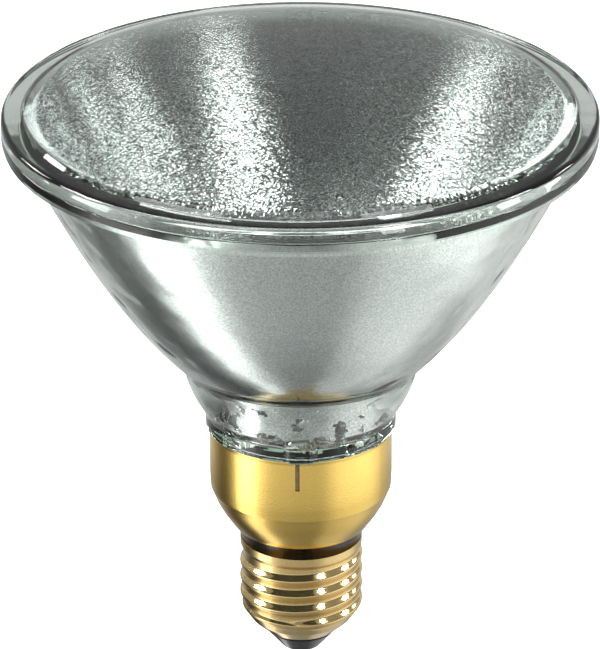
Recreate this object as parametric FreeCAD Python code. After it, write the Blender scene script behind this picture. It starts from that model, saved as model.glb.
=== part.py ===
# A reflector spot lamp of PAR38 size with a skirted E27 screw cap, standing cap down with its lens up.
# Millimetres, +Z up. The origin is on the lamp's axis at the tip of the centre contact.
# The left and right hand names are as seen from the front, which is the side of -Y.

import FreeCAD, Part
import math
import os

# Cap, from the tip of the contact up
plug_face = 1.8              # lower face of the black glass plug, above the tip of the solder
plug_lip = 0.8               # from the contact disc out to the edge of that face
plug_hole_radius = 0.9
contact_radius = 3.4
contact_thickness = 1.0
contact_stand = 0.5          # below the face of the plug
contact_hole_radius = 0.6
solder_radius = 2.6
solder_tip_radius = 1.5
solder_full_share = 0.6      # where the drop is full width, as a share of its height
solder_lead_share = 0.5      # where the live lead ends in it, as a share of its height

# Screw shell, E27
thread_major_radius = 13.05
thread_depth = 0.8
thread_pitch = 3.62
thread_crest_width = 0.8
thread_base_width = 3.1
thread_crest_round = 0.3
thread_crest_pinch = 0.4     # share of the wall by which each half of the inside crest is narrower
thread_bite = 0.15           # how far the foot of the ridge lies inside the root
thread_turns = 3.7
thread_start = 11.76         # height of the lowest turn's middle
thread_start_angle = 250.0
shell_wall = 0.3
shell_foot = 6.4
shell_foot_radius = 8.0
shell_knee_height = 9.1      # where the rounded foot bends, and the plug's height inside it
shell_knee_radius = 10.9
shell_shoulder_height = 11.75
shell_shoulder_band = 0.4    # plain height over the shoulder
shell_shoulder_stand = 0.35  # of that band over the thread's root
shell_band_stand = 0.7       # of the mouth's plain band over the thread's root
shell_band_height = 1.8
shell_band_ease = 0.8        # length of the slope from a band to the thread's root
shell_overlap = 0.4          # how far the threaded stretch runs into the bands
shell_mouth = 28.2

# Black glass ring between the screw shell and the skirt
collar_radius = 12.9
collar_height = 3.2
collar_flange_height = 2.4
collar_flange_ease = 0.2     # clearance between its flange and the cone of the skirt
collar_bore_radius = 9.4
collar_spigot_length = 3.4
collar_spigot_ease = 0.05    # clearance between its spigot and the inside of the thread's root

# Cap skirt
skirt_radius = 19.2
skirt_wall = 0.4
skirt_lip = 1.3              # from the black ring out to the foot of the cone
skirt_cone_angle = 34.0      # from the lamp's axis
skirt_bend_radius = 8.0
skirt_barrel_height = 15.7   # from the corner of the cone up to the open edge
skirt_slot_width = 0.9
skirt_slot_depth = 6.9
skirt_slot_turn = -2.2       # degrees from the front
skirt_slots = 4
cement_thickness = 0.6       # between the skirt and the heel of the bowl
cement_top_gap = 1.0         # below the edge of the skirt
cement_foot_gap = 1.5        # above the foot of the heel

# Glass bowl: floor, heel and neck
glass_edge_chamfer = 0.6
floor_thickness = 3.0
floor_drop = 0.5             # of its underside below the edge of the skirt
floor_corner_wall = 2.6
heel_wall = 2.6
heel_length = 10.0
shoulder_stand = 0.8         # of the glass shoulder over the skirt
shoulder_height = 3.2
throat_radius = 22.4         # inner wall where the mirror's paraboloid ends
neck_wall = 2.65
neck_kink_drop = 0.75        # of the outer kink below the throat
neck_bulge_drop = 1.0        # of the bulge below the kink
neck_bulge_step = 0.5        # of the bulge inside the kink
neck_bulge_bow = 0.6
neck_foot_ease = 1.05        # width of the slope from the bulge to the shoulder, and half its height
lug_width = 6.5
lug_height = 4.4
lug_stand = 0.7
mark_root = 1.2              # how deep the lugs, ribs and pip run into the glass
rib_width = 0.5
rib_stand = 0.25
rib_angle = 52.0             # from the front and the back, both ways
pip_angle = 31.0
pip_radius = 1.0
pip_stand = 0.3

# Mirror and rim
rim_radius = 61.0
seal_width = 6.0             # of the ring on which the lens is sealed
mouth_wall = 2.0
bowl_flange_thickness = 3.0
mirror_focal_length = 12.15
film_thickness = 0.2
film_ease = 0.03             # between the coating and the glass, so that their curved faces stay apart

# Front lens
lens_flange_thickness = 3.2
lens_window_ease = 1.0       # of the window's edge outside the mirror's mouth
lens_step_height = 1.0
lens_thickness = 3.0
lens_crown = 6.8             # rise of the dome over its own edge
lens_inner_land = 1.2        # upright wall between the seal and the inner dome

# Seals and posts
seal_bore_radius = 2.3
seal_boss_wall = 1.0
seal_boss_height = 2.4
ferrule_wall = 0.4
post_radius = 0.75
post_gap = 1.0               # between a post and the burner's pinch
post_rise = 9.2              # above the burner's leads
exhaust_bore_radius = 1.4
exhaust_wall = 0.9
exhaust_length = 8.0
exhaust_tip_radius = 1.15
exhaust_tip_rise = 0.46

# Lead wires in the cap
lead_radius = 0.35
lead_bend = 4.0
live_lean_start = 8.6        # above the foot of the skirt, where the live lead leans to the axis
live_lean_end = 6.5          # above the plug, where it runs down the axis
sleeve_wall = 0.35
sleeve_gap = 0.5             # under the ferrule
sleeve_past_bend = 8.0
shell_lead_lean_start = 4.6  # above the foot of the skirt, where the shell's lead leans out
shell_lead_lean_end = 1.8    # above the mouth of the shell, where it runs straight down
solder_blob_radius = 1.1
shell_solder_turns = 2.5     # the joint's place up the thread, midway between two crests

# Halogen burner
burner_floor_gap = 1.5       # between its leads and the floor of the bowl
burner_lead_radius = 0.3
burner_lead_bend = 0.8
burner_lead_drop = 0.9       # from the foot of the pinch to the bend
pinch_width = 11.5
pinch_thickness = 3.2
pinch_height = 6.0
foil_width = 2.0
foil_height = 4.0
foil_thickness = 0.12
foil_spacing = 5.2
burner_radius = 5.5
burner_wall = 1.0
burner_tip_radius = 1.1
burner_tip_height = 1.6
coil_radius = 0.9
coil_wire = 0.24
coil_turns = 8
coil_pitch = 1.0
coil_foot_room = 1.5         # from the coil down to the floor of the hollow
coil_top_room = 1.0          # from the coil up to the leg that leads back down
leg_wire = 0.3

# Radii and heights of the cap that follow
contact_face = plug_face - contact_stand
plug_top = shell_knee_height
thread_root_radius = thread_major_radius - thread_depth
shell_band_radius = thread_root_radius + shell_band_stand
shell_shoulder_radius = thread_root_radius + shell_shoulder_stand
skirt_foot = shell_mouth + collar_height
skirt_foot_radius = collar_radius + skirt_lip
skirt_slope = math.tan(math.radians(skirt_cone_angle))
skirt_corner = skirt_foot + (skirt_radius - skirt_foot_radius) / skirt_slope
skirt_top = skirt_corner + skirt_barrel_height

# Glass floor and neck, and the pins through the floor
floor_underside = skirt_top - floor_drop
floor_height = floor_underside + floor_thickness
shoulder_radius = skirt_radius + shoulder_stand
heel_radius = skirt_radius - skirt_wall - cement_thickness
heel_foot = floor_underside - heel_length
floor_radius = shoulder_radius - floor_corner_wall
boss_radius = seal_bore_radius + seal_boss_wall
boss_foot = floor_underside - seal_boss_height
post_x = pinch_width / 2 + post_gap + post_radius

# The burner stands over the floor, and the mirror is set about the middle of its coil
burner_lead_level = floor_height + burner_floor_gap + burner_lead_radius
pinch_foot = burner_lead_level + burner_lead_drop
foil_foot = pinch_foot + (pinch_height - foil_height) / 2
foil_top = foil_foot + foil_height
pinch_top = pinch_foot + pinch_height
hollow_foot = pinch_top + burner_wall
coil_foot = hollow_foot + coil_foot_room
coil_length = coil_turns * coil_pitch
coil_top = coil_foot + coil_length
focus_height = coil_foot + coil_length / 2

# The mirror's paraboloid gives the height of the rim
mouth_radius = rim_radius - seal_width
outer_mouth_radius = mouth_radius + mouth_wall
mirror_vertex = focus_height - mirror_focal_length
throat_height = mirror_vertex + throat_radius ** 2 / (4 * mirror_focal_length)
seal_plane = mirror_vertex + mouth_radius ** 2 / (4 * mirror_focal_length)
rim_plane = seal_plane + lens_flange_thickness
flange_foot = seal_plane - bowl_flange_thickness
kink_radius = throat_radius + neck_wall
kink_height = throat_height - neck_kink_drop
outer_rise = flange_foot - kink_height
outer_focal_length = (outer_mouth_radius ** 2 - kink_radius ** 2) / (4 * outer_rise)
outer_vertex = kink_height - kink_radius ** 2 / (4 * outer_focal_length)

ORIGIN = FreeCAD.Vector(0, 0, 0)
UP = FreeCAD.Vector(0, 0, 1)


def at(radius, height, turn=0.0):
    """A point at a radius and height, turned about the axis by degrees from +X."""
    angle = math.radians(turn)
    return FreeCAD.Vector(radius * math.cos(angle), radius * math.sin(angle), height)


def rounded(before, corner, after, rounding):
    """An arc that rounds a corner, with the points where it starts and ends."""
    back = (before - corner).normalize()
    ahead = (after - corner).normalize()
    half = back.getAngle(ahead) / 2
    into = corner + back * (rounding / math.tan(half))
    out = corner + ahead * (rounding / math.tan(half))
    middle = corner + (back + ahead).normalize() * (rounding / math.sin(half) - rounding)
    return into, Part.Arc(into, middle, out).toShape(), out


def path(points, roundings):
    """Straight edges through the points, with an arc at each inner corner that has a rounding."""
    edges = []
    start = points[0]
    for i in range(1, len(points)):
        if not roundings[i]:
            edges.append(Part.makeLine(start, points[i]))
            start = points[i]
            continue
        into, arc, out = rounded(points[i - 1], points[i], points[i + 1], roundings[i])
        edges.append(Part.makeLine(start, into))
        edges.append(arc)
        start = out
    return edges


def runs(*corners):
    """Edges through corners (radius, height[, rounding]) in the plane of +X and +Z."""
    points = [at(corner[0], corner[1]) for corner in corners]
    roundings = [corner[2] if len(corner) > 2 else 0.0 for corner in corners]
    return path(points, roundings)


def parabola(vertex, focal_length, radius_a, radius_b):
    """The stretch of a parabola about the axis between two radii, as one exact quadratic curve."""
    curve = Part.BezierCurve()
    poles = []
    for a, b in ((radius_a, radius_a), (radius_a, radius_b), (radius_b, radius_b)):
        poles.append(at((a + b) / 2, vertex + a * b / (4 * focal_length)))
    curve.setPoles(poles)
    return curve.toShape()


def turned(edges):
    """A solid of revolution from a closed chain of edges."""
    face = Part.Face(Part.Wire(edges))
    solid = face.revolve(ORIGIN, UP, 360)
    if solid.Volume < 0:
        solid.reverse()
    return solid


def rod(radius, start, end):
    return Part.makeCylinder(radius, (end - start).Length, start, end - start)


def bent_rod(radius, points, bend):
    """A round wire through the points, each corner an arc of the bend radius."""
    roundings = [0.0] + [bend] * (len(points) - 2) + [0.0]
    line = Part.Wire(path(points, roundings))
    section = Part.Wire(Part.makeCircle(radius, points[0], points[1] - points[0]))
    return line.makePipeShell([section], True, True)


def make_reflector_bowl():
    """Pressed hard glass in one piece: flange, paraboloid, neck, shoulder, floor and heel."""
    edge = glass_edge_chamfer
    shoulder_top = skirt_top + shoulder_height
    edges = runs(
        (mouth_radius, seal_plane),
        (rim_radius, seal_plane),
        (rim_radius, flange_foot + edge),
        (rim_radius - edge, flange_foot),
        (outer_mouth_radius, flange_foot),
    )
    edges.append(parabola(outer_vertex, outer_focal_length, outer_mouth_radius, kink_radius))
    bulge_top = at(kink_radius - neck_bulge_step, kink_height - neck_bulge_drop)
    bulge_foot = at(shoulder_radius + neck_foot_ease, shoulder_top + 2 * neck_foot_ease)
    outward = (bulge_top - bulge_foot).cross(FreeCAD.Vector(0, 1, 0)).normalize()
    bulge_middle = (bulge_top + bulge_foot) * 0.5 - outward * neck_bulge_bow
    edges.append(Part.makeLine(at(kink_radius, kink_height), bulge_top))
    edges.append(Part.Arc(bulge_top, bulge_middle, bulge_foot).toShape())
    edges += runs(
        (bulge_foot.x, bulge_foot.z),
        (shoulder_radius, shoulder_top),
        (shoulder_radius, skirt_top + edge / 2),
        (shoulder_radius - edge / 2, skirt_top),
        (heel_radius, skirt_top),
        (heel_radius, heel_foot),
        (heel_radius - heel_wall, heel_foot),
        (heel_radius - heel_wall, floor_underside),
        (0, floor_underside),
        (0, floor_height),
        (floor_radius, floor_height),
        (throat_radius, throat_height),
    )
    edges.append(parabola(mirror_vertex, mirror_focal_length, throat_radius, mouth_radius))
    bowl = turned(edges)
    for side in (-1, 1):
        boss = Part.makeCylinder(boss_radius, seal_boss_height, at(side * post_x, boss_foot))
        bowl = bowl.fuse(boss)
    bowl = bowl.fuse(neck_marks())
    for side in (-1, 1):
        bore = Part.makeCylinder(seal_bore_radius, floor_height - boss_foot, at(side * post_x, boss_foot))
        bowl = bowl.cut(bore)
    tube = Part.makeCylinder(exhaust_bore_radius, floor_thickness, at(0, floor_underside))
    return bowl.cut(tube).removeSplitter()


def neck_marks():
    """Moulded lugs, ribs and one pip on the glass shoulder above the skirt."""
    foot = skirt_top + glass_edge_chamfer
    middle = skirt_top + shoulder_height / 2
    marks = []
    for front in (-90, 90):
        lug = Part.makeBox(lug_stand + mark_root, lug_width, lug_height)
        lug = lug.makeFillet(lug_width / 3, [e for e in lug.Edges if is_top_along_x(e, lug_height)])
        lug.translate(FreeCAD.Vector(shoulder_radius - mark_root, -lug_width / 2, foot))
        lug.rotate(ORIGIN, UP, front)
        marks.append(lug)
        for side in (-1, 1):
            rib = Part.makeBox(rib_stand + mark_root, rib_width, shoulder_height - glass_edge_chamfer)
            rib.translate(FreeCAD.Vector(shoulder_radius - mark_root, -rib_width / 2, foot))
            rib.rotate(ORIGIN, UP, front + side * rib_angle)
            marks.append(rib)
    inner = at(shoulder_radius - mark_root, middle, pip_angle - 90)
    outer = at(shoulder_radius + pip_stand, middle, pip_angle - 90)
    marks.append(rod(pip_radius, inner, outer))
    return marks


def is_top_along_x(edge, height):
    ends = [v.Point for v in edge.Vertexes]
    level = all(abs(p.z - height) < 0.001 for p in ends)
    return level and abs(ends[0].y - ends[1].y) < 0.001


def make_mirror_film():
    """Aluminium coating on the inner wall, from the seal down to the floor."""
    near = -film_ease
    far = -film_ease - film_thickness
    back = parabola(mirror_vertex, mirror_focal_length, mouth_radius, throat_radius)
    back.translate(FreeCAD.Vector(near, 0, 0))
    front = parabola(mirror_vertex, mirror_focal_length, throat_radius, mouth_radius)
    front.translate(FreeCAD.Vector(far, 0, 0))
    foot = runs(
        (throat_radius + near, throat_height),
        (floor_radius + near, floor_height),
        (floor_radius + far, floor_height),
        (throat_radius + far, throat_height),
    )
    edge = Part.makeLine(at(mouth_radius + far, seal_plane), at(mouth_radius + near, seal_plane))
    return turned([back, *foot, front, edge])


def dome(edge_radius, edge_height, top):
    """The arc of a shallow dome from its edge up to the axis."""
    rise = top - edge_height
    ball_radius = (edge_radius ** 2 + rise ** 2) / (2 * rise)
    middle_height = top - ball_radius + math.sqrt(ball_radius ** 2 - edge_radius ** 2 / 4)
    return Part.Arc(at(edge_radius, edge_height), at(edge_radius / 2, middle_height), at(0, top)).toShape()


def make_front_lens():
    """Pressed hard glass: a shallow dome with an edge ring that is sealed on the bowl's flange."""
    window_radius = mouth_radius + lens_window_ease
    window_edge = rim_plane + lens_step_height
    top = window_edge + lens_crown
    inner_edge = seal_plane + lens_inner_land
    edge = glass_edge_chamfer
    edges = [dome(window_radius, window_edge, top)]
    edges += runs(
        (window_radius, window_edge),
        (window_radius + lens_step_height, rim_plane),
        (rim_radius - edge, rim_plane),
        (rim_radius, rim_plane - edge),
        (rim_radius, seal_plane),
        (mouth_radius, seal_plane),
        (mouth_radius, inner_edge),
    )
    edges.append(dome(mouth_radius, inner_edge, top - lens_thickness))
    edges.append(Part.makeLine(at(0, top - lens_thickness), at(0, top)))
    return turned(edges)


def skirt_outline(inset):
    """The drawn wall of the skirt as corners from the top edge down, moved inwards by an inset."""
    slant = inset / math.cos(math.radians(skirt_cone_angle))
    corner_shift = (slant - inset) / skirt_slope
    return [
        (skirt_radius - inset, skirt_top),
        (skirt_radius - inset, skirt_corner + corner_shift, skirt_bend_radius - inset),
        (skirt_foot_radius - slant + inset * skirt_slope, skirt_foot + inset),
    ]


def make_cap_skirt():
    """Drawn brass: a slotted cylinder, a cone and a lip rolled in over the black glass ring."""
    outside = skirt_outline(0)
    inside = skirt_outline(skirt_wall)
    lip = (collar_radius, skirt_foot)
    lip_top = (collar_radius, skirt_foot + skirt_wall)
    inside.reverse()
    skirt = turned(runs(*outside, lip, lip_top, *inside, outside[0]))
    for i in range(skirt_slots):
        slot = Part.makeBox(2 * skirt_radius, skirt_slot_width, skirt_slot_depth)
        slot.translate(FreeCAD.Vector(0, -skirt_slot_width / 2, skirt_top - skirt_slot_depth))
        slot.rotate(ORIGIN, UP, skirt_slot_turn - 90 + i * 360 / skirt_slots)
        skirt = skirt.cut(slot)
    return skirt


def make_skirt_cement():
    """Basing cement in the gap between the heel of the glass and the skirt."""
    top = skirt_top - cement_top_gap
    foot = heel_foot + cement_foot_gap
    outer = skirt_radius - skirt_wall
    inner = heel_radius
    return turned(runs((inner, top), (outer, top), (outer, foot), (inner, foot), (inner, top)))


def make_collar_insulator():
    """Black glass ring: a flange held in the skirt, the band that shows and a spigot in the shell."""
    flange_foot_height = skirt_foot + skirt_wall
    flange_top = flange_foot_height + collar_flange_height
    flange_radius = skirt_outline(skirt_wall)[-1][0] - collar_flange_ease
    spigot_radius = thread_root_radius - shell_wall - collar_spigot_ease
    spigot_foot = shell_mouth - collar_spigot_length
    return turned(runs(
        (collar_bore_radius, flange_top),
        (flange_radius, flange_top),
        (flange_radius, flange_foot_height),
        (collar_radius, flange_foot_height),
        (collar_radius, shell_mouth),
        (spigot_radius, shell_mouth),
        (spigot_radius, spigot_foot),
        (collar_bore_radius, spigot_foot),
        (collar_bore_radius, flange_top),
    ))


def inset_wall(corners, inset):
    """Corners of a wall, from the top down, moved inwards by an inset. The ends keep their heights."""
    slopes = []
    for (radius_a, height_a), (radius_b, height_b) in zip(corners, corners[1:]):
        length = math.hypot(radius_b - radius_a, height_b - height_a)
        slopes.append(((radius_b - radius_a) / length, (height_b - height_a) / length))
    moved = [(corners[0][0] - inset, corners[0][1])]
    for (radius, height), (a, b), (c, d) in zip(corners[1:], slopes, slopes[1:]):
        reach = inset / (1 + a * c + b * d)
        moved.append((radius + reach * (b + d), height - reach * (a + c)))
    moved.append((corners[-1][0] + inset / slopes[-1][1], corners[-1][1]))
    return moved


def foot_cone(inset):
    """Corners of the shell's foot, from the lower band down to its open end, moved inwards."""
    band_top = shell_shoulder_height + shell_shoulder_band
    corners = [
        (thread_root_radius, band_top + shell_band_ease),
        (shell_shoulder_radius, band_top),
        (shell_shoulder_radius, shell_shoulder_height),
        (shell_knee_radius, shell_knee_height),
        (shell_foot_radius, shell_foot),
    ]
    return inset_wall(corners, inset)


def mouth_band(inset):
    """Corners of the plain band at the shell's mouth, from the top down, moved inwards."""
    band_foot = shell_mouth - shell_band_height
    return [
        (shell_band_radius - inset, shell_mouth),
        (shell_band_radius - inset, band_foot),
        (thread_root_radius - inset, band_foot - shell_band_ease),
    ]


def sheet_ring(outline):
    """A turned wall of the shell's sheet from an outline that takes an inset."""
    outside = outline(0)
    inside = outline(shell_wall)
    inside.reverse()
    return turned(runs(*outside, *inside, outside[0]))


def ridge(inset):
    """The rolled thread as one long ridge wound about the axis, moved inwards by an inset."""
    half_base = thread_base_width / 2 - inset
    half_crest = thread_crest_width / 2 - inset * thread_crest_pinch
    base = thread_root_radius - inset - thread_bite
    crest = thread_major_radius - inset
    half_shoulder = (half_base + half_crest) / 2
    corners = [
        (base, -half_base),
        (crest - thread_crest_round, -half_shoulder),
        (crest, -half_crest),
        (crest, half_crest),
        (crest - thread_crest_round, half_shoulder),
        (base, half_base),
        (base, -half_base),
    ]
    section = Part.Wire(runs(*corners))
    helix = Part.makeHelix(thread_pitch, thread_pitch * thread_turns, thread_root_radius)
    solid = Part.Wire(helix.Edges).makePipeShell([section], True, True)
    solid.translate(FreeCAD.Vector(0, 0, thread_start))
    solid.rotate(ORIGIN, UP, thread_start_angle)
    return solid


def make_screw_shell():
    """Drawn and rolled brass: thin wall, rounded thread between two plain bands, open rounded foot."""
    low = foot_cone(0)[0][1] - shell_overlap
    high = mouth_band(0)[-1][1] + shell_overlap
    length = high - low + 2 * thread_pitch
    foot = at(0, low - thread_pitch)
    tube = Part.makeCylinder(thread_root_radius, length, foot)
    bore = Part.makeCylinder(thread_root_radius - shell_wall, length, foot)
    threaded = tube.cut(bore).fuse(ridge(0)).cut(ridge(shell_wall))
    room = Part.makeCylinder(thread_major_radius + thread_depth, high - low, at(0, low))
    threaded = threaded.common(room)
    return threaded.fuse([sheet_ring(mouth_band), sheet_ring(foot_cone)])


def make_base_insulator():
    """Black glass plug moulded into the foot of the shell, with a seat for the contact plate."""
    foot = foot_cone(0)[-1]
    inner_foot = foot_cone(shell_wall)[-1]
    inner_knee = foot_cone(shell_wall)[-2]
    share = (plug_top - inner_foot[1]) / (inner_knee[1] - inner_foot[1])
    top_radius = inner_foot[0] + (inner_knee[0] - inner_foot[0]) * share
    seat = contact_face + contact_thickness
    return turned(runs(
        (plug_hole_radius, seat),
        (contact_radius, seat),
        (contact_radius, plug_face),
        (contact_radius + plug_lip, plug_face),
        (foot[0], foot[1]),
        inner_foot,
        (top_radius, plug_top),
        (plug_hole_radius, plug_top),
        (plug_hole_radius, seat),
    ))


def make_centre_contact():
    """Stamped brass disc with a hole for the lead."""
    disc = Part.makeCylinder(contact_radius, contact_thickness, at(0, contact_face))
    hole = Part.makeCylinder(contact_hole_radius, contact_thickness, at(0, contact_face))
    return disc.cut(hole)


def make_centre_solder():
    """Solder drop under the contact disc, with the flat tip that meets the holder's contact."""
    lead_end = contact_face * solder_lead_share
    return turned(runs(
        (0, 0),
        (solder_tip_radius, 0),
        (solder_radius, contact_face * solder_full_share),
        (solder_radius, contact_face),
        (lead_radius, contact_face),
        (lead_radius, lead_end),
        (0, lead_end),
        (0, 0),
    ))


def live_lead_points():
    """Corners of the wire that goes from the left ferrule to the centre contact."""
    return [
        at(-post_x, boss_foot - ferrule_wall),
        at(-post_x, skirt_foot + live_lean_start),
        at(0, plug_top + live_lean_end),
        at(0, contact_face * solder_lead_share),
    ]


def make_lead_live():
    return bent_rod(lead_radius, live_lead_points(), lead_bend)


def make_lead_sleeve():
    """Woven glass sleeve over the upper stretch of the live lead, down past its first bend."""
    top, bend, axis = live_lead_points()[:3]
    points = [top - UP * sleeve_gap, bend, bend + (axis - bend).normalize() * sleeve_past_bend]
    sleeve = bent_rod(lead_radius + sleeve_wall, points, lead_bend)
    return sleeve.cut(make_lead_live())


def shell_lead_points():
    """Corners of the wire that goes from the right ferrule to the inner wall of the shell."""
    wall = collar_bore_radius - 2 * lead_radius
    turns = (360 - thread_start_angle) / 360 + shell_solder_turns
    return [
        at(post_x, boss_foot - ferrule_wall),
        at(post_x, skirt_foot + shell_lead_lean_start),
        at(wall, shell_mouth + shell_lead_lean_end),
        at(wall, thread_start + thread_pitch * turns),
    ]


def make_lead_shell():
    return bent_rod(lead_radius, shell_lead_points(), lead_bend)


def make_shell_solder():
    """Solder blob that joins the shell lead to the plain inner wall of the shell."""
    end = shell_lead_points()[-1]
    wall = thread_root_radius - shell_wall
    blob = rod(solder_blob_radius, end, at(wall + solder_blob_radius, end.z))
    room = Part.makeCylinder(wall, 4 * solder_blob_radius, at(0, end.z - 2 * solder_blob_radius))
    return blob.common(room).cut(make_lead_shell())


def make_ferrule(side):
    """Nickel-iron cup sealed over the glass boss, which carries a post inside and a lead outside."""
    foot = at(side * post_x, boss_foot - ferrule_wall)
    cup = Part.makeCylinder(boss_radius + ferrule_wall, seal_boss_height + ferrule_wall, foot)
    return cup.cut(Part.makeCylinder(boss_radius, seal_boss_height, foot + UP * ferrule_wall))


def make_post(side):
    """Nickel-plated rod brazed in its ferrule, which carries the burner's lead."""
    return rod(post_radius, at(side * post_x, boss_foot), at(side * post_x, burner_lead_level + post_rise))


def make_exhaust_tube():
    """Glass tube under the floor, melted shut after pumping."""
    outer = exhaust_bore_radius + exhaust_wall
    foot = floor_underside - exhaust_length
    neck = foot + outer
    return turned(runs(
        (exhaust_bore_radius, floor_underside),
        (outer, floor_underside),
        (outer, neck),
        (exhaust_tip_radius, foot + exhaust_tip_rise),
        (0, foot),
        (0, neck),
        (exhaust_bore_radius, neck + exhaust_wall),
        (exhaust_bore_radius, floor_underside),
    ))


def half_dome(radius, height, crown):
    """The arc of a round end from its edge up to a point near the axis."""
    rise = radius * math.sin(math.radians(45))
    return Part.Arc(at(radius, height), at(rise, height + rise), crown).toShape()


def make_burner_solid():
    """Outer form of the burner: pinch, tube, domed end and the tip where it was sealed off."""
    tube_top = coil_top + coil_top_room
    tip = tube_top + burner_radius + burner_tip_height
    crown = at(burner_tip_radius, tube_top + math.sqrt(burner_radius ** 2 - burner_tip_radius ** 2))
    edges = runs(
        (0, pinch_top),
        (burner_radius - burner_wall, pinch_top),
        (burner_radius, hollow_foot),
        (burner_radius, tube_top),
    )
    edges.append(half_dome(burner_radius, tube_top, crown))
    edges += runs((crown.x, crown.z), (burner_tip_radius / 2, tip), (0, tip), (0, pinch_top))
    corner = FreeCAD.Vector(-pinch_width / 2, -pinch_thickness / 2, pinch_foot)
    pinch = Part.makeBox(pinch_width, pinch_thickness, pinch_height + burner_wall, corner)
    return turned(edges).fuse(pinch).removeSplitter()


def make_burner_hollow():
    inner = burner_radius - burner_wall
    tube_top = coil_top + coil_top_room
    edges = runs((0, hollow_foot), (inner, hollow_foot), (inner, tube_top))
    edges.append(half_dome(inner, tube_top, at(0, tube_top + inner)))
    edges.append(Part.makeLine(at(0, tube_top + inner), at(0, hollow_foot)))
    return turned(edges)


def make_foil(side):
    """Molybdenum foil that seals the current path through the pinch."""
    corner = FreeCAD.Vector(side * foil_spacing / 2 - foil_width / 2, -foil_thickness / 2, foil_foot)
    return Part.makeBox(foil_width, foil_thickness, foil_height, corner)


def square_rod(size, start, end):
    """A straight square wire, upright or level."""
    low = FreeCAD.Vector(min(start.x, end.x), min(start.y, end.y), min(start.z, end.z))
    high = FreeCAD.Vector(max(start.x, end.x), max(start.y, end.y), max(start.z, end.z))
    half = FreeCAD.Vector(size / 2, size / 2, size / 2)
    low -= half
    span = high + half - low
    return Part.makeBox(span.x, span.y, span.z, low)


def make_filament():
    """Tungsten coil on the axis, with one leg from its foot and one led back down from its top."""
    section = Part.Wire(runs(
        (coil_radius - coil_wire / 2, 0),
        (coil_radius, -coil_wire / 2),
        (coil_radius + coil_wire / 2, 0),
        (coil_radius, coil_wire / 2),
        (coil_radius - coil_wire / 2, 0),
    ))
    helix = Part.makeHelix(coil_pitch, coil_length, coil_radius)
    coil = Part.Wire(helix.Edges).makePipeShell([section], True, True)
    coil.translate(at(0, coil_foot))
    leg_x = foil_spacing / 2
    half = leg_wire / 2
    foot_end = at(leg_x, foil_top + half)
    foot_bend = at(leg_x, coil_foot)
    coil_start = at(coil_radius, coil_foot)
    top_start = at(coil_radius, coil_top)
    top_clear = at(coil_radius, coil_top + coil_top_room)
    top_over = at(-leg_x, top_clear.z)
    top_end = at(-leg_x, foil_top + half)
    legs = [
        square_rod(leg_wire, foot_end, foot_bend),
        square_rod(leg_wire, foot_bend, coil_start),
        square_rod(leg_wire, top_start, top_clear),
        square_rod(leg_wire, top_clear, top_over),
        square_rod(leg_wire, top_over, top_end),
    ]
    return coil.fuse(legs).removeSplitter()


def make_burner_lead(side):
    """Stiff wire from the foil out of the foot of the pinch, bent out to its post."""
    x = side * foil_spacing / 2
    points = [at(x, foil_foot), at(x, burner_lead_level), at(side * post_x, burner_lead_level)]
    return bent_rod(burner_lead_radius, points, burner_lead_bend).cut(make_post(side))


def make_burner(sealed_in):
    """Quartz envelope, pinched about the foils, the filament's legs and the outer leads."""
    burner = make_burner_solid().cut(make_burner_hollow())
    for piece in sealed_in:
        burner = burner.cut(piece)
    return burner


os.makedirs("parts", exist_ok=True)

filament = make_filament()
foils = {"left": make_foil(-1), "right": make_foil(1)}
burner_leads = {"left": make_burner_lead(-1), "right": make_burner_lead(1)}
sealed_in = [filament, *foils.values(), *burner_leads.values()]

nodes = {
    "front_lens": make_front_lens(),
    "reflector_bowl": make_reflector_bowl(),
    "mirror_film": make_mirror_film(),
    "cap_skirt": make_cap_skirt(),
    "skirt_cement": make_skirt_cement(),
    "collar_insulator": make_collar_insulator(),
    "screw_shell": make_screw_shell(),
    "base_insulator": make_base_insulator(),
    "centre_contact": make_centre_contact(),
    "centre_solder": make_centre_solder(),
    "lead_live": make_lead_live(),
    "lead_sleeve": make_lead_sleeve(),
    "lead_shell": make_lead_shell(),
    "shell_solder": make_shell_solder(),
    "exhaust_tube": make_exhaust_tube(),
    "burner": make_burner(sealed_in),
    "filament": filament,
}
for name, side in (("left", -1), ("right", 1)):
    nodes["ferrule_" + name] = make_ferrule(side)
    nodes["post_" + name] = make_post(side)
    nodes["foil_" + name] = foils[name]
    nodes["burner_lead_" + name] = burner_leads[name]

for name, shape in nodes.items():
    solids = shape.Solids
    print(name, "solids", len(solids), "valid", shape.isValid(), "volume", round(shape.Volume, 2))
    shape.exportStep("parts/" + name + ".step")
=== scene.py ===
import math

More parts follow.
